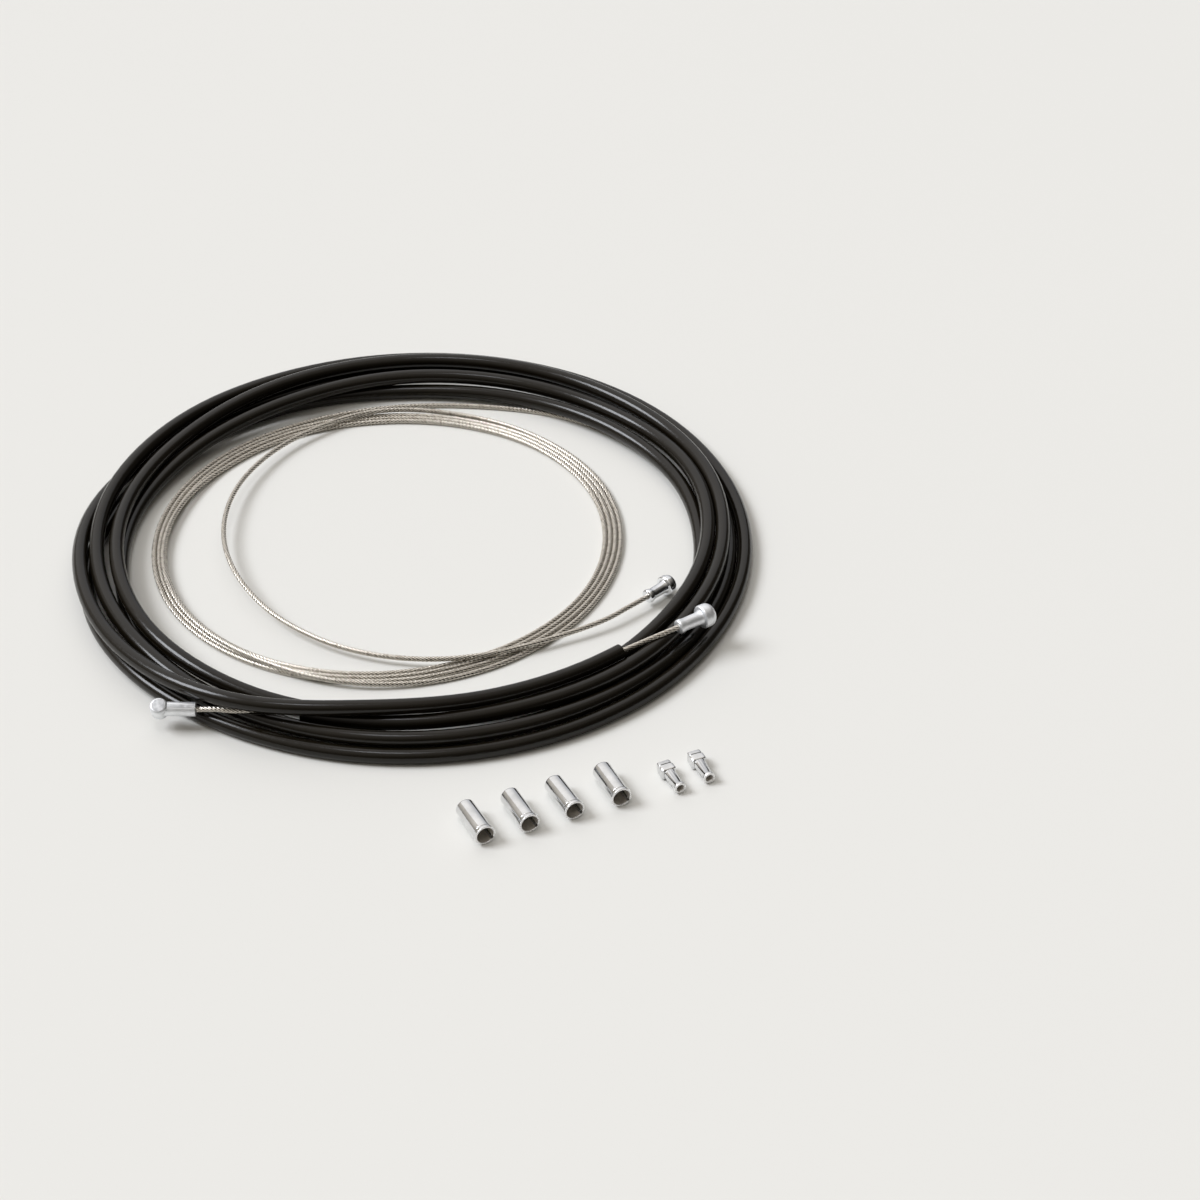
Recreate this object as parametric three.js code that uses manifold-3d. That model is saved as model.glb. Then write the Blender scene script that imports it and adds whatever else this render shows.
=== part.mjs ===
// Bicycle brake cable set, laid out flat: one long coil of outer casing with its
// inner wire inside, a second inner wire in a loose coil, four ferrules and two end tips.
// Millimetres, +Z up, floor at Z = 0.
import * as THREE from 'three';
import manifoldModule from 'manifold-3d';

// Casing: plastic jacket over wound flat steel over a slick liner
const CASING_OUTER = 5.0;
const JACKET_WALL = 0.46;
const WOUND_WALL = 0.62;
const LINER_WALL = 0.2;
const LAYER_FIT = 0.03;
const WIRE_DIAMETER = 1.7;
const JACKET_SIDES = 10;
const LAYER_SIDES = 6;

// Heads cast on the wires
const HEAD_BORE_FIT = 0.12;
const HEAD_BORE_DEPTH = 6.0;
const BARREL_DIAMETER = 5.6;
const BARREL_HEIGHT = 5.4;
const BARREL_CHAMFER = 0.6;
const BARREL_LEAN = 27;
const SHANK_DIAMETER = 4.5;
const SHANK_LENGTH = 8.6;
const HEAD_SEGMENTS = 20;

// Ferrules
const FERRULE_LENGTH = 15.0;
const FERRULE_BODY = 6.15;
const FERRULE_LIP = 6.7;
const FERRULE_LIP_LENGTH = 1.1;
const FERRULE_LIP_STEP = 0.1;
const FERRULE_END_WALL = 1.4;
const FERRULE_SOCKET_FIT = 0.3;
const FERRULE_WIRE_HOLE = 2.2;
const FERRULE_SEGMENTS = 20;

// End tips
const TIP_BLOCK_WIDTH = 4.8;
const TIP_BLOCK_HEIGHT = 3.9;
const TIP_BLOCK_LENGTH = 4.6;
const TIP_NECK_LENGTH = 0.7;
const TIP_TUBE_DIAMETER = 3.6;
const TIP_MOUTH_DIAMETER = 4.1;
const TIP_LENGTH = 12.2;
const TIP_BORE = 2.2;
const TIP_BORE_DEPTH = 9.0;
const TIP_SIDES = 20;

// Casing coil: every strand keeps to a lane (across the ring) and a layer (upwards)
const LANE_GAP = 0.1;
const LANE_PITCH = CASING_OUTER + LANE_GAP;
const RING_CENTRE = [-61.5, 26.0];
const RING_RADIUS = 103;
const KEY_START_ANGLE = 336;
const KEY_STEP_ANGLE = 24;
const STATION_STEP_ANGLE = 12;
const FULL_TURN_ANGLE = 360;
const CASING_FROM_ANGLE = 316;
const CASING_TURNS = 5;
const CASING_TO_ANGLE = 252;
const CASING_LANES = [
  // first turn
  [-0.9, 1.45], [-1.78, 1.37], [-1.92, 1.47], [-1.09, 1.88], [0.88, 1.95],
  [1.33, 1.26], [1.52, 0.99], [1.64, 0.28], [0.98, 0.01], [0.51, 0.04],
  [0.78, 0.02], [1.16, 0.0], [1.09, 0.0], [0.68, 0.0], [0.34, 0.01],
  // second turn
  [0.16, 0.07], [0.24, 0.38], [0.36, 0.66], [0.31, 0.7], [0.08, 0.63],
  [0.06, 0.9], [0.36, 0.95], [0.8, 1.04], [1.14, 1.03], [2.09, 0.35],
  [2.6, 0.03], [2.48, 0.01], [2.13, 0.03], [1.68, 0.0], [1.35, 0.03],
  // third turn
  [1.16, 0.02], [1.23, 0.0], [1.2, 0.01], [1.09, 0.0], [1.07, 0.05],
  [1.36, 0.19], [1.2, 0.01], [0.32, 0.02], [-0.26, 0.0], [-0.87, 0.02],
  [-1.55, 0.04], [-1.73, 0.24], [-1.67, 0.4], [-1.46, 0.35], [-1.53, 0.14],
  // fourth turn
  [-1.35, 0.01], [-0.76, 0.0], [-0.41, 0.0], [-0.44, 0.0], [-0.71, 0.0],
  [-0.69, 0.0], [-1.04, 0.02], [-1.05, 0.1], [-1.38, 0.54], [-1.55, 0.88],
  [-1.23, 1.04], [-0.74, 0.81], [-0.47, 0.67], [-0.55, 0.99], [-1.1, 1.1],
  // fifth turn
  [-1.67, 0.96], [-2.21, 0.37], [-2.52, 0.03], [-2.54, 0.04], [-1.94, 0.29],
  [-1.19, 0.87], [-0.9, 1.07], [-0.57, 0.99], [-0.25, 1.0], [0.42, 1.05],
  [0.84, 1.04], [0.88, 1.05], [0.7, 1.01], [0.47, 0.98], [-0.1, 1.02],
  // last part, running in to the barrel head's end
  [-0.45, 1.08], [-0.6, 1.04], [-1.04, 0.91], [-1.06, 0.81], [-0.55, 1.18],
];

// Bare lengths of the housed wire beyond the two casing ends: compass angle, how far outside
// the ring's radius, and height
const MUSHROOM_SIDE = [[327.0, -0.2, 11.7], [323.3, -3.2, 11.45], [319.5, -5.8, 11.1]];
const MUSHROOM_AIM = [332.8, 4.7, 11.7];
const BARREL_SIDE = [
  [249.2, -2.9, 8.7], [246.7, -0.6, 9.2], [241.8, 4.4, 9.0], [238.4, 6.6, 8.6], [235.4, 8.7, 7.4],
];
const BARREL_CENTRE = [230.8, 15.3, 7.4];

// Loose inner wire: how far outside the bundle's radius, and how far lifted off the floor, at
// every key angle; four turns lie in the bundle
const LOOSE_CENTRE = [-71.5, 35.0];
const LOOSE_INSET = 26;
const LOOSE_RADIUS = RING_RADIUS - LOOSE_INSET;
const LOOSE_FROM_ANGLE = 332;
const LOOSE_TURNS = 5;
const LOOSE_TO_ANGLE = 30;
const LOOSE_NECK = [336.0, 18.0, 4.0];
const LOOSE_AIM = [341.5, 21.8, 3.7];
const LOOSE_ROUTE = [
  // from the head, over the bundle and round as the inner loop
  [16.7, 3.15], [4.0, 2.1], [-3.5, 2.05], [-10.7, 2.25], [-16.8, 3.25],
  [-21.1, 3.95], [-22.4, 4.15], [-21.2, 3.9], [-17.0, 2.95], [-10.6, 2.15],
  [-4.0, 2.1], [-1.0, 0.45], [0.2, 0.0], [1.1, 0.0], [1.5, 0.0],
  // outermost in the bundle, then over the others to the inside
  [1.95, 0.0], [2.8, 0.0], [4.0, 0.0], [4.4, 1.3], [2.0, 1.9],
  [0.4, 1.8], [-1.6, 1.8], [-4.2, 1.55], [-6.2, 0.05], [-7.0, 0.0],
  [-7.7, 0.0], [-6.8, 0.0], [-5.1, 0.0], [-4.15, 0.0], [-3.8, 0.0],
  // innermost
  [-3.4, 0.0], [-3.3, 0.0], [-2.9, 0.0], [-1.6, 0.0], [-0.6, 0.0],
  [-0.9, 0.0], [-2.1, 0.0], [-3.2, 0.0], [-4.2, 0.0], [-5.0, 0.0],
  [-5.9, 0.0], [-5.0, 0.0], [-3.35, 0.0], [-2.4, 0.0], [-2.05, 0.0],
  // second from the inside
  [-1.65, 0.0], [-1.5, 0.0], [-1.0, 0.0], [0.3, 0.0], [1.15, 0.0],
  [0.85, 0.0], [-0.35, 0.0], [-1.45, 0.0], [-2.4, 0.0], [-3.2, 0.0],
  [-4.1, 0.0], [-3.2, 0.0], [-1.6, 0.0], [-0.65, 0.0], [-0.3, 0.0],
  // third from the inside, then the outermost, which runs out under the casing
  [0.1, 0.0], [0.4, 0.0], [1.2, 0.0], [2.2, 0.0], [2.9, 0.0],
  [2.6, 0.0], [1.4, 0.0], [0.3, 0.0], [-0.6, 0.0], [-1.2, 0.0],
  [0.6, 0.0], [6.2, 0.0], [17.0, 0.0], [27.5, 0.0], [35.0, 0.0],
];

// Loose fittings on the floor: where the mouth is and where the closed end is, each as compass
// angle and how far outside the ring's radius
const FERRULES = [
  [[280.7, 45.8], [278.9, 31.1]],
  [[286.1, 43.7], [284.9, 28.1]],
  [[291.8, 42.4], [291.2, 27.0]],
  [[297.8, 42.9], [298.2, 27.6]],
];
const TIPS = [
  [[305.0, 44.9], [305.7, 35.2]],
  [[308.8, 47.1], [310.0, 37.1]],
];

const UP = new THREE.Vector3(0, 0, 1);

const wasm = await manifoldModule();
wasm.setup();
const { Manifold } = wasm;

const jacketPlastic = new THREE.MeshStandardMaterial({ color: 0x17171a, roughness: 0.38, metalness: 0 });
const woundSteel = new THREE.MeshStandardMaterial({ color: 0x8f9296, roughness: 0.45, metalness: 1 });
const linerPlastic = new THREE.MeshStandardMaterial({ color: 0xe8e8e4, roughness: 0.5, metalness: 0 });
const strandSteel = new THREE.MeshStandardMaterial({ color: 0xb9b6ae, roughness: 0.4, metalness: 1 });
const castZinc = new THREE.MeshStandardMaterial({ color: 0xc9ccd0, roughness: 0.35, metalness: 1 });
const brightZinc = new THREE.MeshStandardMaterial({ color: 0xd6d8dc, roughness: 0.18, metalness: 1 });
const ferruleMetal = new THREE.MeshStandardMaterial({ color: 0xd9dadd, roughness: 0.25, metalness: 1 });

// Value at place u of a list of rows, smooth through every row
function smoothRow(rows, u) {
  const last = rows.length - 1;
  const i = Math.min(Math.max(Math.floor(u), 0), last - 1);
  const f = u - i;
  const before = rows[Math.max(i - 1, 0)];
  const after = rows[Math.min(i + 2, last)];
  return rows[i].map((a, k) => {
    const b = rows[i + 1][k];
    const slopeA = (b - before[k]) / 2;
    const slopeB = (after[k] - a) / 2;
    const f2 = f * f;
    const f3 = f2 * f;
    return a * (2 * f3 - 3 * f2 + 1) + slopeA * (f3 - 2 * f2 + f)
      + b * (3 * f2 - 2 * f3) + slopeB * (f3 - f2);
  });
}

function onCompass(centre, radius, compass, height) {
  const angle = THREE.MathUtils.degToRad(compass);
  const x = centre[0] + radius * Math.cos(angle);
  const y = centre[1] + radius * Math.sin(angle);
  return new THREE.Vector3(x, y, height);
}

// Place given by the casing coil's ring
function byRing([compass, beyond, height]) {
  return onCompass(RING_CENTRE, RING_RADIUS + beyond, compass, height);
}

// Place given by the loose coil's bundle
function byBundle([compass, beyond, height]) {
  return onCompass(LOOSE_CENTRE, LOOSE_RADIUS + beyond, compass, height);
}

// Travel is clockwise seen from above, so the compass angle falls as it grows
function stationTravels(from, to, turns) {
  const travels = [];
  const step = STATION_STEP_ANGLE;
  const start = KEY_START_ANGLE - from;
  const end = KEY_START_ANGLE - to + (turns - 1) * FULL_TURN_ANGLE;
  for (let t = Math.ceil(start / step) * step; t <= end; t += step) {
    travels.push(t);
  }
  if (travels[0] - start > 1) {
    travels.unshift(start);
  }
  if (end - travels[travels.length - 1] > 1) {
    travels.push(end);
  }
  return travels;
}

function casingPoint(travel) {
  const [lane, layer] = smoothRow(CASING_LANES, travel / KEY_STEP_ANGLE);
  const radius = RING_RADIUS + lane * LANE_PITCH;
  const height = CASING_OUTER / 2 + Math.max(layer, 0) * LANE_PITCH;
  return onCompass(RING_CENTRE, radius, KEY_START_ANGLE - travel, height);
}

function loosePoint(travel) {
  const [beyond, lift] = smoothRow(LOOSE_ROUTE, travel / KEY_STEP_ANGLE);
  const height = WIRE_DIAMETER / 2 + Math.max(lift, 0);
  return byBundle([KEY_START_ANGLE - travel, beyond, height]);
}

// A path that keeps exactly to its stations, so nested layers share every bend
class StationPath extends THREE.Curve {
  constructor(stations) {
    super();
    this.stations = stations;
  }

  getPoint(t, target = new THREE.Vector3()) {
    const place = t * (this.stations.length - 1);
    const i = Math.min(Math.floor(place), this.stations.length - 2);
    return target.lerpVectors(this.stations[i], this.stations[i + 1], place - i);
  }

  getPointAt(u, target) {
    return this.getPoint(u, target);
  }

  getTangent(t, target = new THREE.Vector3()) {
    const last = this.stations.length - 1;
    const i = Math.round(t * last);
    const ahead = this.stations[Math.min(i + 1, last)];
    const behind = this.stations[Math.max(i - 1, 0)];
    return target.subVectors(ahead, behind).normalize();
  }

  getTangentAt(u, target) {
    return this.getTangent(u, target);
  }
}

function regularOutline(radius, sides, Kind) {
  const outline = new Kind();
  for (let i = 0; i < sides; i += 1) {
    const angle = (i / sides) * Math.PI * 2;
    const x = radius * Math.cos(angle);
    const y = radius * Math.sin(angle);
    if (i === 0) {
      outline.moveTo(x, y);
    } else {
      outline.lineTo(x, y);
    }
  }
  outline.closePath();
  return outline;
}

// A round bar, or a tube where an inner radius is given
function sweep(stations, outerRadius, outerSides, innerRadius = 0, innerSides = LAYER_SIDES) {
  const section = regularOutline(outerRadius, outerSides, THREE.Shape);
  if (innerRadius > 0) {
    section.holes.push(regularOutline(innerRadius, innerSides, THREE.Path));
  }
  return new THREE.ExtrudeGeometry(section, {
    steps: stations.length - 1,
    extrudePath: new StationPath(stations),
    bevelEnabled: false,
    curveSegments: 1,
  });
}

// Turned body whose axis runs from its closed end towards its mouth
function turned(profile, segments, mouth, direction) {
  const geometry = new THREE.LatheGeometry(profile.map(([r, h]) => new THREE.Vector2(r, h)), segments);
  const turn = new THREE.Quaternion().setFromUnitVectors(new THREE.Vector3(0, 1, 0), direction);
  geometry.applyQuaternion(turn);
  geometry.translate(mouth.x, mouth.y, mouth.z);
  return geometry;
}

function unit(from, to) {
  return new THREE.Vector3().subVectors(to, from).normalize();
}

// Domed button head on a waisted neck, with the wire's bore up the neck.
// Heights are counted from the neck's open end.
function mushroomProfile(size) {
  const boreRadius = WIRE_DIAMETER / 2 + HEAD_BORE_FIT / 2;
  return [
    [0, HEAD_BORE_DEPTH],
    [boreRadius, HEAD_BORE_DEPTH],
    [boreRadius, 0],
    [size.collar - 0.35, 0],
    [size.collar, 0.4],
    [size.collar, 1.3],
    [size.waist, 2.3],
    [size.waist, size.neck - 1.2],
    [size.root, size.neck],
    [size.button - 0.3, size.neck],
    [size.button, size.neck + 0.35],
    [size.button, size.neck + size.rim],
    [size.button * 0.93, size.neck + size.rim + (size.dome * 0.36)],
    [size.button * 0.78, size.neck + size.rim + (size.dome * 0.64)],
    [size.button * 0.52, size.neck + size.rim + (size.dome * 0.86)],
    [size.button * 0.24, size.neck + size.rim + (size.dome * 0.97)],
    [0, size.neck + size.rim + size.dome],
  ];
}

const HOUSED_BUTTON = { collar: 2.35, waist: 2.15, root: 2.45, button: 3.85, neck: 9.0, rim: 2.6, dome: 2.4 };
const LOOSE_BUTTON = { collar: 2.3, waist: 1.95, root: 2.2, button: 3.4, neck: 8.2, rim: 1.9, dome: 2.2 };

function mushroomHead(size, mouth, direction) {
  return turned(mushroomProfile(size), HEAD_SEGMENTS, mouth, direction);
}

function geometryFromManifold(solid) {
  const mesh = solid.getMesh();
  const positions = [];
  for (let i = 0; i < mesh.vertProperties.length; i += mesh.numProp) {
    positions.push(mesh.vertProperties[i], mesh.vertProperties[i + 1], mesh.vertProperties[i + 2]);
  }
  const geometry = new THREE.BufferGeometry();
  geometry.setAttribute('position', new THREE.Float32BufferAttribute(positions, 3));
  geometry.setIndex(Array.from(mesh.triVerts));
  const flat = geometry.toNonIndexed();
  flat.computeVertexNormals();
  return flat;
}

// Barrel with a round shank out of its side, cast as one piece and rolled towards the front
function barrelHead(centre, direction) {
  const radius = BARREL_DIAMETER / 2;
  const straight = BARREL_HEIGHT - 2 * BARREL_CHAMFER;
  const lower = Manifold.cylinder(BARREL_CHAMFER, radius - BARREL_CHAMFER, radius, HEAD_SEGMENTS);
  const middle = Manifold.cylinder(straight, radius, radius, HEAD_SEGMENTS);
  const upper = Manifold.cylinder(BARREL_CHAMFER, radius, radius - BARREL_CHAMFER, HEAD_SEGMENTS);
  const barrel = lower.translate([0, 0, -BARREL_HEIGHT / 2])
    .add(middle.translate([0, 0, -straight / 2]))
    .add(upper.translate([0, 0, straight / 2]));
  const shankEnd = radius + SHANK_LENGTH;
  const shank = Manifold.cylinder(shankEnd, SHANK_DIAMETER / 2, SHANK_DIAMETER / 2, HEAD_SEGMENTS)
    .rotate([0, 90, 0]);
  const boreRadius = (WIRE_DIAMETER + HEAD_BORE_FIT) / 2;
  const bore = Manifold.cylinder(HEAD_BORE_DEPTH + 1, boreRadius, boreRadius, HEAD_SEGMENTS)
    .rotate([0, 90, 0])
    .translate([shankEnd - HEAD_BORE_DEPTH, 0, 0]);
  const leaning = barrel.rotate([BARREL_LEAN, 0, 0]);
  const geometry = geometryFromManifold(leaning.add(shank).subtract(bore));
  geometry.applyQuaternion(new THREE.Quaternion().setFromUnitVectors(new THREE.Vector3(1, 0, 0), direction));
  geometry.translate(centre.x, centre.y, centre.z);
  return geometry;
}

// Deep-drawn cap for the casing's end: socket, rolled lip and a wire hole in the closed end
function ferrule(mouthPlace, endPlace) {
  const lipRadius = FERRULE_LIP / 2;
  const bodyRadius = FERRULE_BODY / 2;
  const socketRadius = (CASING_OUTER + FERRULE_SOCKET_FIT) / 2;
  const holeRadius = FERRULE_WIRE_HOLE / 2;
  const profile = [
    [holeRadius, 0],
    [bodyRadius - 0.5, 0],
    [bodyRadius - 0.15, 0.15],
    [bodyRadius, 0.5],
    [bodyRadius, FERRULE_LENGTH - FERRULE_LIP_LENGTH - FERRULE_LIP_STEP],
    [lipRadius, FERRULE_LENGTH - FERRULE_LIP_LENGTH],
    [lipRadius, FERRULE_LENGTH - 0.4],
    [lipRadius - 0.25, FERRULE_LENGTH],
    [socketRadius + 0.2, FERRULE_LENGTH],
    [socketRadius, FERRULE_LENGTH - 0.3],
    [socketRadius, FERRULE_END_WALL],
    [holeRadius, FERRULE_END_WALL],
    [holeRadius, 0],
  ];
  const mouth = byRing([...mouthPlace, lipRadius]);
  const end = byRing([...endPlace, bodyRadius]);
  const axis = unit(end, mouth);
  const start = mouth.clone().addScaledVector(axis, -FERRULE_LENGTH);
  return turned(profile, FERRULE_SEGMENTS, start, axis);
}

// Closed body through rings of equal count, with a flat cap at both ends
function throughRings(rings) {
  const positions = [];
  const count = rings[0].length;
  const quad = (a, b, c, d) => positions.push(...a, ...b, ...c, ...a, ...c, ...d);
  for (let r = 0; r < rings.length - 1; r += 1) {
    for (let i = 0; i < count; i += 1) {
      const j = (i + 1) % count;
      quad(rings[r][i], rings[r][j], rings[r + 1][j], rings[r + 1][i]);
    }
  }
  const first = rings[0];
  const last = rings[rings.length - 1];
  for (let i = 1; i < count - 1; i += 1) {
    positions.push(...first[0], ...first[i + 1], ...first[i]);
    positions.push(...last[0], ...last[i], ...last[i + 1]);
  }
  const geometry = new THREE.BufferGeometry();
  geometry.setAttribute('position', new THREE.Float32BufferAttribute(positions, 3));
  geometry.computeVertexNormals();
  return geometry;
}

// Section between a circle (square = 0) and a rounded block (square = 1)
function tipRing(halfWidth, halfHeight, square, height) {
  const power = 2 + square * 5;
  const ring = [];
  for (let i = 0; i < TIP_SIDES; i += 1) {
    const angle = ((i + 0.5) / TIP_SIDES) * Math.PI * 2;
    const c = Math.cos(angle);
    const s = Math.sin(angle);
    const reach = (Math.abs(c) ** power + Math.abs(s) ** power) ** (-1 / power);
    ring.push([halfWidth * reach * c, halfHeight * reach * s, height]);
  }
  return ring;
}

// Crimp tip: solid block at the closed end, round tube with a flared mouth at the other
function endTip(mouthPlace, endPlace) {
  const w = TIP_BLOCK_WIDTH / 2;
  const h = TIP_BLOCK_HEIGHT / 2;
  const tube = TIP_TUBE_DIAMETER / 2;
  const flare = TIP_MOUTH_DIAMETER / 2;
  const bore = TIP_BORE / 2;
  const neck = TIP_BLOCK_LENGTH + TIP_NECK_LENGTH;
  const geometry = throughRings([
    tipRing(w - 0.3, h - 0.3, 1, 0),
    tipRing(w, h, 1, 0.35),
    tipRing(w, h, 1, TIP_BLOCK_LENGTH),
    tipRing(tube, tube, 0, neck),
    tipRing(tube, tube, 0, TIP_LENGTH - 1.6),
    tipRing(flare, flare, 0, TIP_LENGTH - 0.9),
    tipRing(flare, flare, 0, TIP_LENGTH - 0.25),
    tipRing(flare - 0.25, flare - 0.25, 0, TIP_LENGTH),
    tipRing(bore + 0.2, bore + 0.2, 0, TIP_LENGTH),
    tipRing(bore, bore, 0, TIP_LENGTH - 0.3),
    tipRing(bore, bore, 0, TIP_LENGTH - TIP_BORE_DEPTH),
  ]);
  const tilt = (flare - h) / (TIP_LENGTH - TIP_BLOCK_LENGTH);
  const end = byRing([...endPlace, h + TIP_BLOCK_LENGTH * Math.abs(tilt)]);
  const axis = unit(end, byRing([...mouthPlace, end.z])).addScaledVector(UP, tilt).normalize();
  const side = new THREE.Vector3().crossVectors(UP, axis).normalize();
  const basis = new THREE.Matrix4().makeBasis(side, new THREE.Vector3().crossVectors(axis, side), axis);
  basis.setPosition(end);
  geometry.applyMatrix4(basis);
  geometry.computeBoundingBox();
  geometry.translate(0, 0, -geometry.boundingBox.min.z);
  return geometry;
}

const object = new THREE.Group();
object.name = 'bicycle_brake_cable_set';

function add(name, geometry, material) {
  const mesh = new THREE.Mesh(geometry, material);
  mesh.name = name;
  object.add(mesh);
}

// Casing and the wire inside it
const casingStations = stationTravels(CASING_FROM_ANGLE, CASING_TO_ANGLE, CASING_TURNS + 1).map(casingPoint);
const jacketInner = CASING_OUTER / 2 - JACKET_WALL;
const woundOuter = jacketInner - LAYER_FIT;
const woundInner = woundOuter - WOUND_WALL;
const linerOuter = woundInner - LAYER_FIT;
const linerInner = linerOuter - LINER_WALL;

add('casing_jacket', sweep(casingStations, CASING_OUTER / 2, JACKET_SIDES, jacketInner), jacketPlastic);
add('casing_wound_steel', sweep(casingStations, woundOuter, LAYER_SIDES, woundInner), woundSteel);
add('casing_liner', sweep(casingStations, linerOuter, LAYER_SIDES, linerInner), linerPlastic);

const mushroomSide = MUSHROOM_SIDE.map(byRing);
const barrelSide = BARREL_SIDE.map(byRing);
const mushroomMouth = mushroomSide[0];
const mushroomAxis = unit(mushroomMouth, byRing(MUSHROOM_AIM));
const barrelCentre = byRing(BARREL_CENTRE);
const barrelAxis = unit(barrelCentre, barrelSide[barrelSide.length - 1]);
const shankMouth = barrelCentre.clone().addScaledVector(barrelAxis, BARREL_DIAMETER / 2 + SHANK_LENGTH);
const seated = HEAD_BORE_DEPTH - 0.1;

const housedStations = [
  mushroomMouth.clone().addScaledVector(mushroomAxis, seated),
  ...mushroomSide,
  ...casingStations,
  ...barrelSide.slice(0, -1),
  shankMouth,
  shankMouth.clone().addScaledVector(barrelAxis, -seated),
];
add('inner_wire_housed', sweep(housedStations, WIRE_DIAMETER / 2, LAYER_SIDES), strandSteel);
add('mushroom_head_housed', mushroomHead(HOUSED_BUTTON, mushroomMouth, mushroomAxis), castZinc);
add('barrel_head', barrelHead(barrelCentre, barrelAxis), castZinc);

// Loose inner wire
const looseMouth = byBundle(LOOSE_NECK);
const looseAxis = unit(looseMouth, byBundle(LOOSE_AIM));
const looseStations = [
  looseMouth.clone().addScaledVector(looseAxis, seated),
  looseMouth,
  ...stationTravels(LOOSE_FROM_ANGLE, LOOSE_TO_ANGLE, LOOSE_TURNS).map(loosePoint),
];
add('inner_wire_loose', sweep(looseStations, WIRE_DIAMETER / 2, LAYER_SIDES), strandSteel);
add('mushroom_head_loose', mushroomHead(LOOSE_BUTTON, looseMouth, looseAxis), brightZinc);

// Loose fittings
FERRULES.forEach(([mouth, end], i) => add(`ferrule_${i + 1}`, ferrule(mouth, end), ferruleMetal));
TIPS.forEach(([mouth, end], i) => add(`end_tip_${i + 1}`, endTip(mouth, end), ferruleMetal));

// Footprint centred on the origin, lowest point on the floor
const box = new THREE.Box3().setFromObject(object, true);
const middle = box.getCenter(new THREE.Vector3());
object.children.forEach((mesh) => mesh.geometry.translate(-middle.x, -middle.y, -box.min.z));

export default object;
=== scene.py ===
import math

import bpy
import numpy as np
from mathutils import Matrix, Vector


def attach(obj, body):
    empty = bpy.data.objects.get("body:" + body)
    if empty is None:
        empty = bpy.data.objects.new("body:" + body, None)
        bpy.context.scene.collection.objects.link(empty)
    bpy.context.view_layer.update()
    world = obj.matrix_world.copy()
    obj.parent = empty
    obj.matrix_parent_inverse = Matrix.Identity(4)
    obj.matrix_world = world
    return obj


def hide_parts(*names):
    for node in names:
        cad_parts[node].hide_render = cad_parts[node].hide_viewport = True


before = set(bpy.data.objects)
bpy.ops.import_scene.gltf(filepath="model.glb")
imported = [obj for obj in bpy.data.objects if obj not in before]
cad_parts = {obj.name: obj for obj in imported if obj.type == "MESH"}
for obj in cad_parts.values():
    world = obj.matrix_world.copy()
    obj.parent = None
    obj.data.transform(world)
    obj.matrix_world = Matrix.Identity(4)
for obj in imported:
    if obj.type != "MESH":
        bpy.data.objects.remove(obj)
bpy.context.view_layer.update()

# All lengths below are in millimetres in the photograph's floor frame, whose origin is the floor
# point in the middle of the picture. SHIFT takes them to the part's frame, and MM to metres.
MM = 0.001
SHIFT = np.array([62.21273, -11.21836, 0.00975])

# Camera at the photograph's height and distance
CAMERA_ELEVATION = 37.0
CAMERA_DISTANCE = 1000.0
CAMERA_LENS = 91.5
CAMERA_SENSOR = 36.0
CAMERA_NEAR = 10.0
CAMERA_FAR = 20000.0


def placed(point):
    """A point of the floor frame in millimetres, in the part's frame in metres."""
    return (np.asarray(point, float) + SHIFT) * MM


def make_camera():
    data = bpy.data.cameras.new("camera")
    data.sensor_width = CAMERA_SENSOR
    data.lens = CAMERA_LENS
    data.clip_start = CAMERA_NEAR * MM
    data.clip_end = CAMERA_FAR * MM
    camera = bpy.data.objects.new("camera", data)
    bpy.context.scene.collection.objects.link(camera)
    tilt = math.radians(CAMERA_ELEVATION)
    place = (0.0, -CAMERA_DISTANCE * math.cos(tilt), CAMERA_DISTANCE * math.sin(tilt))
    camera.location = placed(place)
    camera.rotation_euler = (math.radians(90.0 - CAMERA_ELEVATION), 0.0, 0.0)
    bpy.context.scene.camera = camera


make_camera()

# Layers of the casing, and the wire in it
CASING_OUTER = 5.0
JACKET_WALL = 0.46
WOUND_WALL = 0.62
LINER_WALL = 0.2
LAYER_FIT = 0.03
JACKET_SIDES = 24
INNER_SIDES = 12
WIRE_DIAMETER = 1.7

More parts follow.
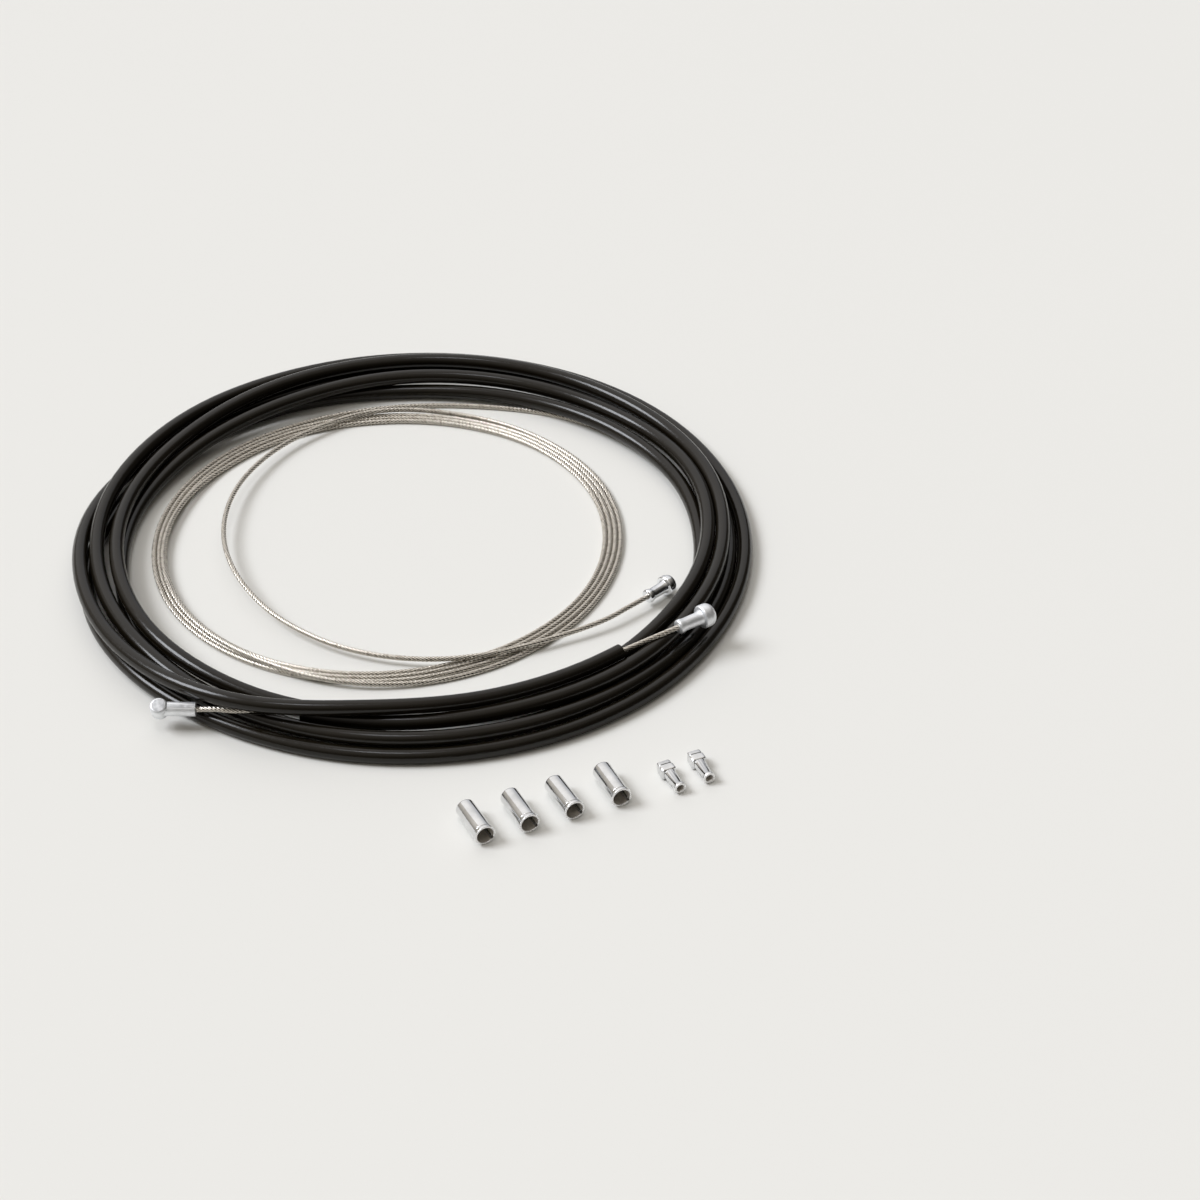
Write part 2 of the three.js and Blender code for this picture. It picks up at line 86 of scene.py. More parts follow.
# Casing route: lane across the ring and layer upwards at every key angle
RING_CENTRE = (-61.5, 26.0)
RING_RADIUS = 103.0
LANE_PITCH = CASING_OUTER + 0.1
KEY_START = 336.0
KEY_STEP = 24.0
CASING_FROM = 20.0
CASING_TO = 1884.0
CASING_STEP = 3.0
CASING_LANES = [
    # first turn
    (-0.9, 1.45), (-1.78, 1.37), (-1.92, 1.47), (-1.09, 1.88), (0.88, 1.95),
    (1.33, 1.26), (1.52, 0.99), (1.64, 0.28), (0.98, 0.01), (0.51, 0.04),
    (0.78, 0.02), (1.16, 0.0), (1.09, 0.0), (0.68, 0.0), (0.34, 0.01),
    # second turn
    (0.16, 0.07), (0.24, 0.38), (0.36, 0.66), (0.31, 0.7), (0.08, 0.63),
    (0.06, 0.9), (0.36, 0.95), (0.8, 1.04), (1.14, 1.03), (2.09, 0.35),
    (2.6, 0.03), (2.48, 0.01), (2.13, 0.03), (1.68, 0.0), (1.35, 0.03),
    # third turn
    (1.16, 0.02), (1.23, 0.0), (1.2, 0.01), (1.09, 0.0), (1.07, 0.05),
    (1.36, 0.19), (1.2, 0.01), (0.32, 0.02), (-0.26, 0.0), (-0.87, 0.02),
    (-1.55, 0.04), (-1.73, 0.24), (-1.67, 0.4), (-1.46, 0.35), (-1.53, 0.14),
    # fourth turn
    (-1.35, 0.01), (-0.76, 0.0), (-0.41, 0.0), (-0.44, 0.0), (-0.71, 0.0),
    (-0.69, 0.0), (-1.04, 0.02), (-1.05, 0.1), (-1.38, 0.54), (-1.55, 0.88),
    (-1.23, 1.04), (-0.74, 0.81), (-0.47, 0.67), (-0.55, 0.99), (-1.1, 1.1),
    # fifth turn
    (-1.67, 0.96), (-2.21, 0.37), (-2.52, 0.03), (-2.54, 0.04), (-1.94, 0.29),
    (-1.19, 0.87), (-0.9, 1.07), (-0.57, 0.99), (-0.25, 1.0), (0.42, 1.05),
    (0.84, 1.04), (0.88, 1.05), (0.7, 1.01), (0.47, 0.98), (-0.1, 1.02),
    # last part, running in to the barrel head's end
    (-0.45, 1.08), (-0.6, 1.04), (-1.04, 0.91), (-1.06, 0.81), (-0.55, 1.18),
]

# Bare ends of the housed wire: compass angle, how far outside the ring's radius, and height
MUSHROOM_MOUTH = (327.0, -0.2, 11.7)
MUSHROOM_AIM = (332.8, 4.7, 11.7)
BARREL_SIDE = [(249.2, -2.9, 8.7), (246.7, -0.6, 9.2), (241.8, 4.4, 9.0), (238.4, 6.6, 8.6)]
BARREL_AIM = (235.4, 8.7, 7.4)
BARREL_CENTRE = (230.8, 15.3, 7.4)
BARE_STEPS = 8

# Loose wire: how far outside the bundle's radius, and how far lifted off the floor, at every key angle
LOOSE_CENTRE = (-71.5, 35.0)
LOOSE_RADIUS = RING_RADIUS - 26.0
LOOSE_FROM = 4.0
LOOSE_TO = 1746.0
LOOSE_STEP = 6.0
LOOSE_MOUTH = (336.0, 18.0, 4.0)
LOOSE_AIM = (341.5, 21.8, 3.7)
LOOSE_ROUTE = [
    # from the head, over the bundle and round as the inner loop
    (16.7, 3.15), (4.0, 2.1), (-3.5, 2.05), (-10.7, 2.25), (-16.8, 3.25),
    (-21.1, 3.95), (-22.4, 4.15), (-21.2, 3.9), (-17.0, 2.95), (-10.6, 2.15),
    (-4.0, 2.1), (-1.0, 0.45), (0.2, 0.0), (1.1, 0.0), (1.5, 0.0),
    # outermost in the bundle, then over the others to the inside
    (1.95, 0.0), (2.8, 0.0), (4.0, 0.0), (4.4, 1.3), (2.0, 1.9),
    (0.4, 1.8), (-1.6, 1.8), (-4.2, 1.55), (-6.2, 0.05), (-7.0, 0.0),
    (-7.7, 0.0), (-6.8, 0.0), (-5.1, 0.0), (-4.15, 0.0), (-3.8, 0.0),
    # innermost
    (-3.4, 0.0), (-3.3, 0.0), (-2.9, 0.0), (-1.6, 0.0), (-0.6, 0.0),
    (-0.9, 0.0), (-2.1, 0.0), (-3.2, 0.0), (-4.2, 0.0), (-5.0, 0.0),
    (-5.9, 0.0), (-5.0, 0.0), (-3.35, 0.0), (-2.4, 0.0), (-2.05, 0.0),
    # second from the inside
    (-1.65, 0.0), (-1.5, 0.0), (-1.0, 0.0), (0.3, 0.0), (1.15, 0.0),
    (0.85, 0.0), (-0.35, 0.0), (-1.45, 0.0), (-2.4, 0.0), (-3.2, 0.0),
    (-4.1, 0.0), (-3.2, 0.0), (-1.6, 0.0), (-0.65, 0.0), (-0.3, 0.0),
    # third from the inside, then the outermost, which runs out under the casing
    (0.1, 0.0), (0.4, 0.0), (1.2, 0.0), (2.2, 0.0), (2.9, 0.0),
    (2.6, 0.0), (1.4, 0.0), (0.3, 0.0), (-0.6, 0.0), (-1.2, 0.0),
    (0.6, 0.0), (6.2, 0.0), (17.0, 0.0), (27.5, 0.0), (35.0, 0.0),
]

# Wire rope: grooves round it, their depth as a share of the radius, lay, and the mesh's step
STRAND_LOBES = 7
LOBE_SIDES = 3
STRAND_DEPTH = 0.24
STRAND_PITCH = 9.5
STRAND_STEP = 0.7

# Heads cast on the wires
HEAD_BORE_DEPTH = 6.0
HEAD_BORE_FIT = 0.06
HEAD_SEAT_GAP = 0.1
HEAD_SEGMENTS = 48
BARREL_DIAMETER = 5.6
BARREL_HEIGHT = 5.4
BARREL_LEAN = 27.0
BARREL_CHAMFER = 0.6
BARREL_END_FACING = 0.97
SHANK_DIAMETER = 4.5
SHANK_LENGTH = 8.6

# Mushroom heads: radii from the wire's side to the button, then lengths along the axis
HOUSED_HEAD = {
    "collar": 2.35, "waist": 2.15, "root": 2.45, "button": 3.85, "neck": 9.0, "rim": 2.6, "dome": 2.4,
}
LOOSE_HEAD = {
    "collar": 2.3, "waist": 1.95, "root": 2.2, "button": 3.4, "neck": 8.2, "rim": 1.9, "dome": 2.2,
}
COLLAR_EDGE_WIDTH = 0.35
COLLAR_EDGE_HEIGHT = 0.4
COLLAR_END = 1.3
WAIST_START = 2.3
ROOT_FLARE = 1.2
BUTTON_EDGE_WIDTH = 0.3
BUTTON_EDGE_HEIGHT = 0.35

# Dome of a mushroom head: share of the button's radius, share of the dome's height, and rounding
DOME_SHAPE = [(0.93, 0.36, 0.5), (0.78, 0.64, 0.5), (0.52, 0.86, 0.5), (0.24, 0.97, 0.4)]

# Ferrules: mouth and closed end, as compass angle and how far outside the ring's radius
FERRULES = [
    [(280.7, 45.8), (278.9, 31.1)],
    [(286.1, 43.7), (284.9, 28.1)],
    [(291.8, 42.4), (291.2, 27.0)],
    [(297.8, 42.9), (298.2, 27.6)],
]
FERRULE_LENGTH = 15.0
FERRULE_BODY = 6.15
FERRULE_LIP = 6.7
FERRULE_LIP_LENGTH = 1.1
FERRULE_FIT = 0.3
FERRULE_HOLE = 2.2
FERRULE_END_WALL = 1.4
FERRULE_END_EDGE = 0.5
FERRULE_GROOVE_DEPTH = 0.16
FERRULE_HOLE_EDGE = 0.1
FERRULE_MOUTH_EDGE = 0.2
FERRULE_SOCKET_START = 0.3
FERRULE_SEGMENTS = 64

# Nick in a ferrule's mouth: turn round the axis and half its angle, then what it cuts and how deep
NICK_TURN = 322.0
NICK_HALF_ANGLE = 9.0
NICK_LENGTH = 0.9
NICK_REACH = 0.3
NICK_DEPTH = 0.4

# End tips: mouth and closed end, as compass angle and how far outside the ring's radius
TIPS = [
    [(305.0, 44.9), (305.7, 35.2)],
    [(308.8, 47.1), (310.0, 37.1)],
]
TIP_LENGTH = 12.2
TIP_BLOCK_LENGTH = 4.6
TIP_BLOCK_WIDTH = 4.8
TIP_BLOCK_HEIGHT = 3.9
TIP_TUBE_DIAMETER = 3.6
TIP_FLARE_DIAMETER = 4.0
TIP_FLARE_LENGTH = 0.9
TIP_BORE_DIAMETER = 2.2
TIP_BORE_DEPTH = 9.0
TIP_FLOOR_GAP = 0.02
TIP_SIDES = 40
ROUND_POWER = 2
SQUARE_POWER = 9

# Pressed block of an end tip: how much narrower and lower than its size, squareness, and height
TIP_BLOCK_RINGS = [
    (0.55, 0.5, 0.7, 0.0),
    (0.3, 0.25, 0.8, 0.12),
    (0.2, 0.15, 0.9, 0.5),
    (0.2, 0.15, 0.9, 1.5),
    (0.38, 0.33, 0.8, 1.65),
    (0.38, 0.33, 0.8, 1.85),
    (0.1, 0.0, 0.9, 2.1),
    (0.0, 0.0, 0.9, TIP_BLOCK_LENGTH - 0.5),
    (0.1, 0.1, 0.8, TIP_BLOCK_LENGTH - 0.1),
    (0.3, 0.2, 0.7, TIP_BLOCK_LENGTH),
]

# Steps round a rounded corner, and the share of a side that its rounding may take
ROUNDING_STEPS = 3
ROUNDING_LIMIT = 0.45

# Angles in degrees above which an edge is drawn sharp
TUBE_SHARP = 35.0
FITTING_SHARP = 40.0
BARREL_SHARP = 30.0

# Height of the materials' fine grain
BUMP_HEIGHT = 0.1


# Curves

def hermite(start, end, start_slope, end_slope, f):
    """Smooth value at share f of the way from start to end, with the slopes given there."""
    f2 = f * f
    f3 = f2 * f
    return (start * (2 * f3 - 3 * f2 + 1) + start_slope * (f3 - 2 * f2 + f)
            + end * (3 * f2 - 2 * f3) + end_slope * (f3 - f2))


def key_value(keys, u):
    """Value at place u of a list of keys, smooth through every key."""
    last = len(keys) - 1
    i = min(max(int(math.floor(u)), 0), last - 1)
    a = np.array(keys[i], float)
    b = np.array(keys[i + 1], float)
    slope_a = (b - np.array(keys[max(i - 1, 0)], float)) / 2
    slope_b = (np.array(keys[min(i + 2, last)], float) - a) / 2
    return hermite(a, b, slope_a, slope_b, u - i)


def on_compass(centre, radius, compass, height):
    angle = math.radians(compass)
    x = centre[0] + radius * math.cos(angle)
    y = centre[1] + radius * math.sin(angle)
    return np.array([x, y, height])


def by_ring(place):
    """A place given by the casing coil's ring: compass angle, distance outside, height."""
    compass, beyond, height = place
    return on_compass(RING_CENTRE, RING_RADIUS + beyond, compass, height)


def by_bundle(place):
    """A place given by the loose coil's bundle: compass angle, distance outside, height."""
    compass, beyond, height = place
    return on_compass(LOOSE_CENTRE, LOOSE_RADIUS + beyond, compass, height)


def casing_point(travel):
    lane, layer = key_value(CASING_LANES, travel / KEY_STEP)
    radius = RING_RADIUS + lane * LANE_PITCH
    height = CASING_OUTER / 2 + max(layer, 0.0) * LANE_PITCH
    return on_compass(RING_CENTRE, radius, KEY_START - travel, height)


def loose_point(travel):
    beyond, lift = key_value(LOOSE_ROUTE, travel / KEY_STEP)
    return by_bundle((KEY_START - travel, beyond, WIRE_DIAMETER / 2 + max(lift, 0.0)))


def travels(start, end, step):
    count = int(round((end - start) / step))
    return [start + (end - start) * i / count for i in range(count + 1)]


def unit(v):
    v = np.asarray(v, float)
    return v / np.linalg.norm(v)


def chord_lengths(points):
    steps = np.linalg.norm(np.diff(points, axis=0), axis=1)
    return np.concatenate([[0.0], np.cumsum(steps)])


def rounded(points):
    """A smooth line through the points, with a wire's even steps."""
    points = np.asarray(points, float)
    place = chord_lengths(points)
    slopes = np.gradient(points, place, axis=0)
    count = int(round(place[-1] / STRAND_STEP))
    out = []
    for s in np.linspace(0.0, place[-1], count + 1):
        i = int(min(np.searchsorted(place, s, side="right") - 1, len(points) - 2))
        span = place[i + 1] - place[i]
        f = (s - place[i]) / span
        out.append(hermite(points[i], points[i + 1], slopes[i] * span, slopes[i + 1] * span, f))
    return np.array(out)


def straight(start, end, count):
    """Even points from start to end, without start."""
    return [start + (end - start) * (i + 1) / count for i in range(count)]


def side_of(axis):
    """A level direction across the axis."""
    side = np.cross([0.0, 0.0, 1.0], axis)
    if np.linalg.norm(side) < 1e-6:
        side = np.array([1.0, 0.0, 0.0])
    return unit(side)


def frames(points):
    """Two cross directions at every point, with no twist along the line."""
    tangents = np.gradient(points, axis=0)
    tangents /= np.linalg.norm(tangents, axis=1)[:, None]
    side = -side_of(tangents[0])
    sides = []
    for tangent in tangents:
        side = unit(side - tangent * side.dot(tangent))
        sides.append(side)
    sides = np.array(sides)
    return sides, np.cross(tangents, sides)


# Meshes

def mesh_object(name, vertices, faces, smooth=True):
    mesh = bpy.data.meshes.new(name)
    mesh.from_pydata([tuple(placed(v)) for v in vertices], [], faces)
    mesh.update()
    for polygon in mesh.polygons:
        polygon.use_smooth = smooth
    obj = bpy.data.objects.new(name, mesh)
    bpy.context.scene.collection.objects.link(obj)
    return obj


def band(first, second, count):
    """Faces between two rings of count vertices, by the number of each ring's first vertex."""
    faces = []
    for i in range(count):
        j = (i + 1) % count
        faces.append((first + i, first + j, second + j, second + i))
    return faces


def flipped(faces):
    return [face[::-1] for face in faces]


def tube(name, points, outer, outer_sides, inner, inner_sides):
    """A tube with flat cut ends. outer_sides is a multiple of inner_sides."""
    sides, ups = frames(points)
    vertices = []
    for radius, count in ((outer, outer_sides), (inner, inner_sides)):
        for p, a, b in zip(points, sides, ups):
            for i in range(count):
                angle = i / count * 2 * math.pi
                vertices.append(p + radius * (math.cos(angle) * a + math.sin(angle) * b))
    faces = []
    inside = len(points) * outer_sides
    for r in range(len(points) - 1):
        faces += flipped(band(r * outer_sides, (r + 1) * outer_sides, outer_sides))
        faces += band(inside + r * inner_sides, inside + (r + 1) * inner_sides, inner_sides)
    ratio = outer_sides // inner_sides
    for end, flip in ((0, False), (len(points) - 1, True)):
        for i in range(outer_sides):
            a = end * outer_sides + i
            b = end * outer_sides + (i + 1) % outer_sides
            c = inside + end * inner_sides + i // ratio
            d = inside + end * inner_sides + ((i + 1) // ratio) % inner_sides
            cap = (a, b, d, c) if c != d else (a, b, c)
            faces.append(cap[::-1] if flip else cap)
    return mesh_object(name, vertices, faces)


def strand(name, points, radius):
    """A twisted wire rope: a round bar with one groove between each two outer wires."""
    sides, ups = frames(points)
    count = STRAND_LOBES * LOBE_SIDES
    groove = [float(i % LOBE_SIDES == LOBE_SIDES - 1) for i in range(count)]
    vertices = []
    for s, p, a, b in zip(chord_lengths(points), points, sides, ups):
        for i in range(count):
            angle = i / count * 2 * math.pi + s / STRAND_PITCH * 2 * math.pi
            r = radius * (1.0 - STRAND_DEPTH * groove[i])
            vertices.append(p + r * (math.cos(angle) * a + math.sin(angle) * b))
    faces = []
    for r in range(len(points) - 1):
        faces += flipped(band(r * count, (r + 1) * count, count))
    first = len(vertices)
    last = first - count
    vertices += [points[0], points[-1]]
    for i in range(count):
        j = (i + 1) % count
        faces.append((first, i, j))
        faces.append((first + 1, last + j, last + i))
    obj = mesh_object(name, vertices, faces)
    # The groove attribute marks where the steel's colour is darkened as painted shade
    layer = obj.data.attributes.new("groove", "FLOAT", "POINT")
    layer.data.foreach_set("value", groove * len(points) + [0.0, 0.0])
    return obj


def turned(name, profile, segments, origin, axis, closed=False, shape=None):
    """A turned body. The profile starts and ends on the axis, or closes on itself."""
    axis = unit(axis)
    side = side_of(axis)
    up = np.cross(axis, side)
    rings = profile[:-1] if closed else profile[1:-1]
    vertices = []
    for r, h in rings:
        for i in range(segments):
            angle = (i + 0.5) / segments * 2 * math.pi
            reach = r if shape is None else shape(r, h, angle)
            vertices.append(origin + reach * (math.cos(angle) * side + math.sin(angle) * up) + h * axis)
    faces = []
    for k in range(len(rings) - 1):
        faces += band(k * segments, (k + 1) * segments, segments)
    last = (len(rings) - 1) * segments
    if closed:
        faces += band(last, 0, segments)
    else:
        pole = len(vertices)
        vertices += [origin + profile[0][1] * axis, origin + profile[-1][1] * axis]
        for i in range(segments):
            j = (i + 1) % segments
            faces.append((pole, j, i))
            faces.append((pole + 1, last + i, last + j))
    return mesh_object(name, vertices, faces)


def rounded_profile(corners):
    """The profile with its inner corners rounded off by each one's third value."""
    out = [corners[0]]
    for before, (x, y, radius), after in zip(corners, corners[1:-1], corners[2:]):
        corner = np.array([x, y])
        back = np.array(before[:2], float) - corner
        ahead = np.array(after[:2], float) - corner
        room = ROUNDING_LIMIT * min(np.linalg.norm(back), np.linalg.norm(ahead))
        radius = min(radius, room)
        start = corner + unit(back) * radius
        end = corner + unit(ahead) * radius
        for k in range(ROUNDING_STEPS + 1):
            f = k / ROUNDING_STEPS
            out.append(tuple((1 - f) ** 2 * start + 2 * f * (1 - f) * corner + f * f * end))
    out.append(corners[-1])
    return out


def smooth_by_angle(obj, degrees):
    obj.data.set_sharp_from_angle(angle=math.radians(degrees))
    return obj


def joined(name, target, other):
    modifier = target.modifiers.new("join", "BOOLEAN")
    modifier.operation = "UNION"
    modifier.solver = "EXACT"
    modifier.object = other
    depsgraph = bpy.context.evaluated_depsgraph_get()
    mesh = bpy.data.meshes.new_from_object(target.evaluated_get(depsgraph))
    target.modifiers.clear()
    target.data = mesh
    bpy.data.objects.remove(other, do_unlink=True)
    target.name = name
    return target


# Materials

def new_material(name):
    material = bpy.data.materials.new(name)
    material.use_nodes = True
    nodes = material.node_tree.nodes
    return material, nodes, material.node_tree.links, nodes["Principled BSDF"]


def object_coordinate(nodes):
    return nodes.new("ShaderNodeTexCoord").outputs["Object"]


def noise(nodes, links, coordinate, scale, detail=4.0, roughness=0.5):
    texture = nodes.new("ShaderNodeTexNoise")
    texture.inputs["Scale"].default_value = scale
    texture.inputs["Detail"].default_value = detail
    texture.inputs["Roughness"].default_value = roughness
    links.new(coordinate, texture.inputs["Vector"])
    return texture.outputs["Fac"]


def ramp(nodes, links, value, low, high, from_low=0.3, from_high=0.7):
    node = nodes.new("ShaderNodeMapRange")
    node.inputs["From Min"].default_value = from_low
    node.inputs["From Max"].default_value = from_high
    node.inputs["To Min"].default_value = low
    node.inputs["To Max"].default_value = high
    links.new(value, node.inputs["Value"])
    return node.outputs["Result"]


def mixed_colour(nodes, links, value, dark, light):
    node = nodes.new("ShaderNodeMix")
    node.data_type = "RGBA"
    node.inputs["A"].default_value = (*dark, 1.0)
    node.inputs["B"].default_value = (*light, 1.0)
    links.new(value, node.inputs["Factor"])
    return node.outputs["Result"]


def add_bump(nodes, links, shader, height, strength):
    bump = nodes.new("ShaderNodeBump")
    bump.inputs["Strength"].default_value = strength
    bump.inputs["Distance"].default_value = BUMP_HEIGHT * MM
    links.new(height, bump.inputs["Height"])
    links.new(bump.outputs["Normal"], shader.inputs["Normal"])


def surface(name, dark, light, metallic, rough, spots, grain, bump, specular=0.5):
    """Colour that varies in soft spots, and a fine grain in roughness and height."""
    material, nodes, links, shader = new_material(name)
    coordinate = object_coordinate(nodes)
    spot_noise = noise(nodes, links, coordinate, spots)
    grain_noise = noise(nodes, links, coordinate, grain, detail=6.0, roughness=0.6)
    colour = mixed_colour(nodes, links, ramp(nodes, links, spot_noise, 0.0, 1.0), dark, light)
    links.new(colour, shader.inputs["Base Color"])
    links.new(ramp(nodes, links, grain_noise, *rough), shader.inputs["Roughness"])
    shader.inputs["Metallic"].default_value = metallic
    shader.inputs["Specular IOR Level"].default_value = specular
    add_bump(nodes, links, shader, grain_noise, bump)
    return material


def strand_surface(dark, light, groove_shade_colour, metallic, rough, grain):
    """Drawn steel with painted shade: its colour darkens into the grooves between the outer wires."""
    material, nodes, links, shader = new_material("strand_steel")
    grain_noise = noise(nodes, links, object_coordinate(nodes), grain)
    bright = mixed_colour(nodes, links, ramp(nodes, links, grain_noise, 0.0, 1.0), dark, light)
    groove = nodes.new("ShaderNodeAttribute")
    groove.attribute_name = "groove"
    # Painted shade: the groove colour is mixed in where the groove attribute is high
    depth = ramp(nodes, links, groove.outputs["Fac"], 0.0, 1.0, from_low=0.1, from_high=0.6)
    shade = nodes.new("ShaderNodeMix")
    shade.data_type = "RGBA"
    shade.inputs["B"].default_value = (*groove_shade_colour, 1.0)
    links.new(depth, shade.inputs["Factor"])
    links.new(bright, shade.inputs["A"])
    links.new(shade.outputs["Result"], shader.inputs["Base Color"])
    links.new(ramp(nodes, links, grain_noise, *rough), shader.inputs["Roughness"])
    shader.inputs["Metallic"].default_value = metallic
    return material


jacket_material = surface(
    "jacket_plastic", dark=(0.0056, 0.0041, 0.0020), light=(0.0080, 0.0060, 0.0032),
    metallic=0.0, rough=(0.16, 0.24), spots=60.0, grain=900.0, bump=0.06, specular=0.35)
wound_material = surface(
    "wound_steel", dark=(0.3, 0.3, 0.31), light=(0.42, 0.42, 0.43),
    metallic=1.0, rough=(0.35, 0.5), spots=500.0, grain=2500.0, bump=0.2)
liner_material = surface(
    "liner_plastic", dark=(0.7, 0.7, 0.67), light=(0.8, 0.8, 0.77),
    metallic=0.0, rough=(0.4, 0.5), spots=500.0, grain=2000.0, bump=0.05)
# The groove colour below is painted shade in the grooves between the outer wires
strand_material = strand_surface(
    dark=(0.72, 0.67, 0.59), light=(0.92, 0.865, 0.775), groove_shade_colour=(0.08, 0.072, 0.06),
    metallic=0.84, rough=(0.22, 0.36), grain=600.0)
cast_material = surface(
    "cast_zinc", dark=(0.75, 0.765, 0.785), light=(0.92, 0.935, 0.955),
    metallic=0.82, rough=(0.36, 0.54), spots=260.0, grain=1500.0, bump=0.3)
sawn_material = surface(
    "sawn_zinc", dark=(0.34, 0.345, 0.35), light=(0.56, 0.565, 0.57),
    metallic=0.8, rough=(0.4, 0.6), spots=600.0, grain=2600.0, bump=0.7)
bright_material = surface(
    "bright_zinc", dark=(0.74, 0.755, 0.775), light=(0.90, 0.915, 0.935),
    metallic=1.0, rough=(0.06, 0.16), spots=240.0, grain=1400.0, bump=0.2)
fitting_material = surface(
    "fitting_metal", dark=(0.63, 0.636, 0.642), light=(0.78, 0.785, 0.79),
    metallic=1.0, rough=(0.05, 0.13), spots=200.0, grain=1500.0, bump=0.2)
# Pale, partly diffuse metal on the fittings' mouth rims: a painted highlight that keeps them bright
# whatever they reflect
rim_highlight_material = surface(
    "painted_highlight_rim", dark=(0.86, 0.86, 0.86), light=(0.95, 0.95, 0.95),
    metallic=0.5, rough=(0.2, 0.35), spots=200.0, grain=1500.0, bump=0.1)
socket_material = surface(
    "socket_inside", dark=(0.42, 0.39, 0.35), light=(0.56, 0.53, 0.48),
    metallic=0.0, rough=(0.5, 0.7), spots=400.0, grain=1800.0, bump=0.3)
FITTING_MATERIALS = [fitting_material, socket_material, rim_highlight_material]


def finish_piece(obj, node, slot, *materials):
    for material in materials:
        obj.data.materials.append(material)
    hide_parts(node)
    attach(obj, "root")
    return obj


# Casing

casing_line = np.array([casing_point(t) for t in travels(CASING_FROM, CASING_TO, CASING_STEP)])
jacket_inner = CASING_OUTER / 2 - JACKET_WALL
wound_outer = jacket_inner - LAYER_FIT
wound_inner = wound_outer - WOUND_WALL
liner_outer = wound_inner - LAYER_FIT
liner_inner = liner_outer - LINER_WALL


def casing_layer(name, outer, inner, sides, material):
    layer = tube(name, casing_line, outer, sides, inner, INNER_SIDES)
    smooth_by_angle(layer, TUBE_SHARP)
    return finish_piece(layer, f"casing_{name}", name, material)


jacket = casing_layer("jacket", CASING_OUTER / 2, jacket_inner, JACKET_SIDES, jacket_material)
casing_layer("wound_steel", wound_outer, wound_inner, INNER_SIDES, wound_material)
casing_layer("liner", liner_outer, liner_inner, INNER_SIDES, liner_material)

# Wires, each seated in its heads

head_seat = HEAD_BORE_DEPTH - HEAD_SEAT_GAP
mushroom_mouth = by_ring(MUSHROOM_MOUTH)
mushroom_axis = unit(by_ring(MUSHROOM_AIM) - mushroom_mouth)
barrel_centre = by_ring(BARREL_CENTRE)
barrel_axis = unit(by_ring(BARREL_AIM) - barrel_centre)
shank_mouth = barrel_centre + barrel_axis * (BARREL_DIAMETER / 2 + SHANK_LENGTH)
loose_mouth = by_bundle(LOOSE_MOUTH)
loose_axis = unit(by_bundle(LOOSE_AIM) - loose_mouth)


def wire(name, node, points):
    return finish_piece(strand(name, points, WIRE_DIAMETER / 2), node, "strand", strand_material)


def housed_points():
    right_end = [mushroom_mouth + mushroom_axis * head_seat, mushroom_mouth]
    right_end += straight(mushroom_mouth, casing_line[0], BARE_STEPS)
    right_end.append(casing_line[1])
    left_end = [casing_line[-2], casing_line[-1], *[by_ring(place) for place in BARREL_SIDE]]
    left_end += [shank_mouth, shank_mouth - barrel_axis * head_seat]
    return np.vstack([rounded(right_end), casing_line[2:-2], rounded(left_end)])


def loose_points():
    keys = [loose_point(t) for t in travels(LOOSE_FROM, LOOSE_TO, LOOSE_STEP)]
    return rounded([loose_mouth + loose_axis * head_seat, loose_mouth, *keys])


wire("housed_wire", "inner_wire_housed", housed_points())
loose_line = loose_points()
loose = wire("loose_wire", "inner_wire_loose", loose_line)

# Heads

head_bore = WIRE_DIAMETER / 2 + HEAD_BORE_FIT


def mushroom(name, size, origin, axis, node, slot, material):
    neck = size["neck"]
    top = neck + size["rim"]
    corners = [
        (0.0, HEAD_BORE_DEPTH),
        (head_bore, HEAD_BORE_DEPTH, 0.05),
        (head_bore, 0.0, 0.1),
        (size["collar"] - COLLAR_EDGE_WIDTH, 0.0, 0.2),
        (size["collar"], COLLAR_EDGE_HEIGHT, 0.25),
        (size["collar"], COLLAR_END, 0.4),
        (size["waist"], WAIST_START, 0.6),
        (size["waist"], neck - ROOT_FLARE, 0.6),
        (size["root"], neck, 0.3),
        (size["button"] - BUTTON_EDGE_WIDTH, neck, 0.15),
        (size["button"], neck + BUTTON_EDGE_HEIGHT, 0.2),
        (size["button"], top, 0.6),
    ]
    for across, up, rounding in DOME_SHAPE:
        corners.append((size["button"] * across, top + size["dome"] * up, rounding))
    corners.append((0.0, top + size["dome"]))
    obj = turned(name, rounded_profile(corners), HEAD_SEGMENTS, origin, axis)
    smooth_by_angle(obj, FITTING_SHARP)
    return finish_piece(obj, node, slot, material)


def barrel_upright():
    lean = math.radians(BARREL_LEAN)
    return math.cos(lean) * np.array([0.0, 0.0, 1.0]) - math.sin(lean) * side_of(barrel_axis)


